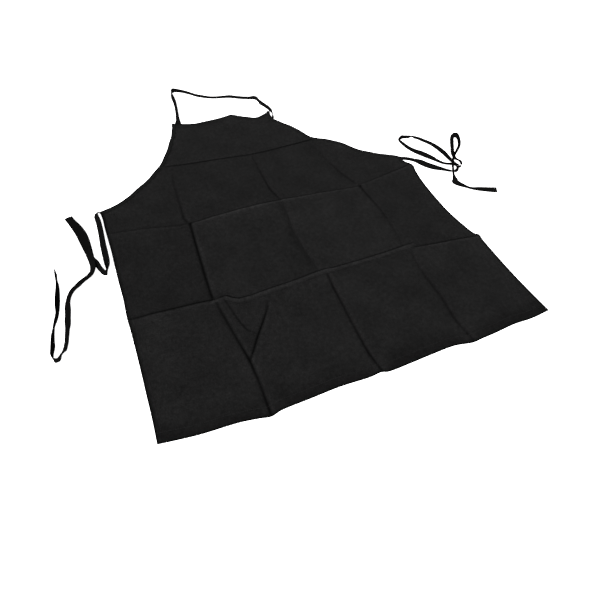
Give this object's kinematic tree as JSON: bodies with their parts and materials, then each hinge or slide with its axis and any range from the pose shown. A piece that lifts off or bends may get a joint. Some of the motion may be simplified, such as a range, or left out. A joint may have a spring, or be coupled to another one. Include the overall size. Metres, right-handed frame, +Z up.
{
  "type": "bib apron",
  "caption": "Plain black cloth bib apron laid flat and creased from folding, with a neck strap and a waist tie at each side.",
  "frame": {"origin": "under the middle of the cloth, on the surface that the apron lies on", "axes": "+X across the apron to the right of someone looking at its front with the bib up, +Y from the bottom hem to the bib, +Z up out of the front face"},
  "size_m": [0.9927, 0.959, 0.0221],
  "materials": {
    "cloth": "plain woven black cotton and polyester, matt, creased",
    "binding": "the same black cloth folded over the armhole edge",
    "thread": "black sewing thread, slight sheen",
    "tape": "flat woven black tape"
  },
  "bodies": {
    "apron": {"main_panel": "cloth", "top_hem": "cloth", "left_side_hem": "cloth", "right_side_hem": "cloth", "left_armhole_binding": "binding", "right_armhole_binding": "binding", "top_hem_stitching": "thread", "left_side_stitching": "thread", "right_side_stitching": "thread", "left_armhole_stitching": "thread", "right_armhole_stitching": "thread", "left_neck_bartack": "thread", "right_neck_bartack": "thread", "left_waist_bartack": "thread", "right_waist_bartack": "thread", "neck_strap_left_root": "tape", "neck_strap_right_root": "tape", "left_tie_root": "tape", "right_tie_root": "tape"},
    "lower_skirt": {"lower_panel": "cloth", "bottom_hem": "cloth", "left_lower_side_hem": "cloth", "right_lower_side_hem": "cloth", "bottom_hem_stitching": "thread", "left_lower_side_stitching": "thread", "right_lower_side_stitching": "thread"},
    "neck_loop": {"neck_strap": "tape"},
    "left_tie": {"left_waist_tie": "tape", "left_tie_end_hem": "tape"},
    "right_tie": {"right_waist_tie": "tape", "right_tie_end_hem": "tape"}
  },
  "joints": [
    {"name": "skirt_fold", "type": "hinge", "parent": "apron", "child": "lower_skirt", "pos_m": [0, -0.175, 0.0018], "axis": [-1, 0, 0], "range_deg": [0, 170]},
    {"name": "neck_loop_swing", "type": "hinge", "parent": "apron", "child": "neck_loop", "pos_m": [-0.02, 0.4015, 0.0023], "axis": [1, 0, 0], "range_deg": [0, 160]},
    {"name": "left_tie_swing", "type": "hinge", "parent": "apron", "child": "left_tie", "pos_m": [-0.353, 0.1045, 0], "axis": [0, 0, -1], "range_deg": [0, 110]},
    {"name": "right_tie_swing", "type": "hinge", "parent": "apron", "child": "right_tie", "pos_m": [0.353, 0.0905, 0], "axis": [0, 0, 1], "range_deg": [-20, 60]}
  ]
}
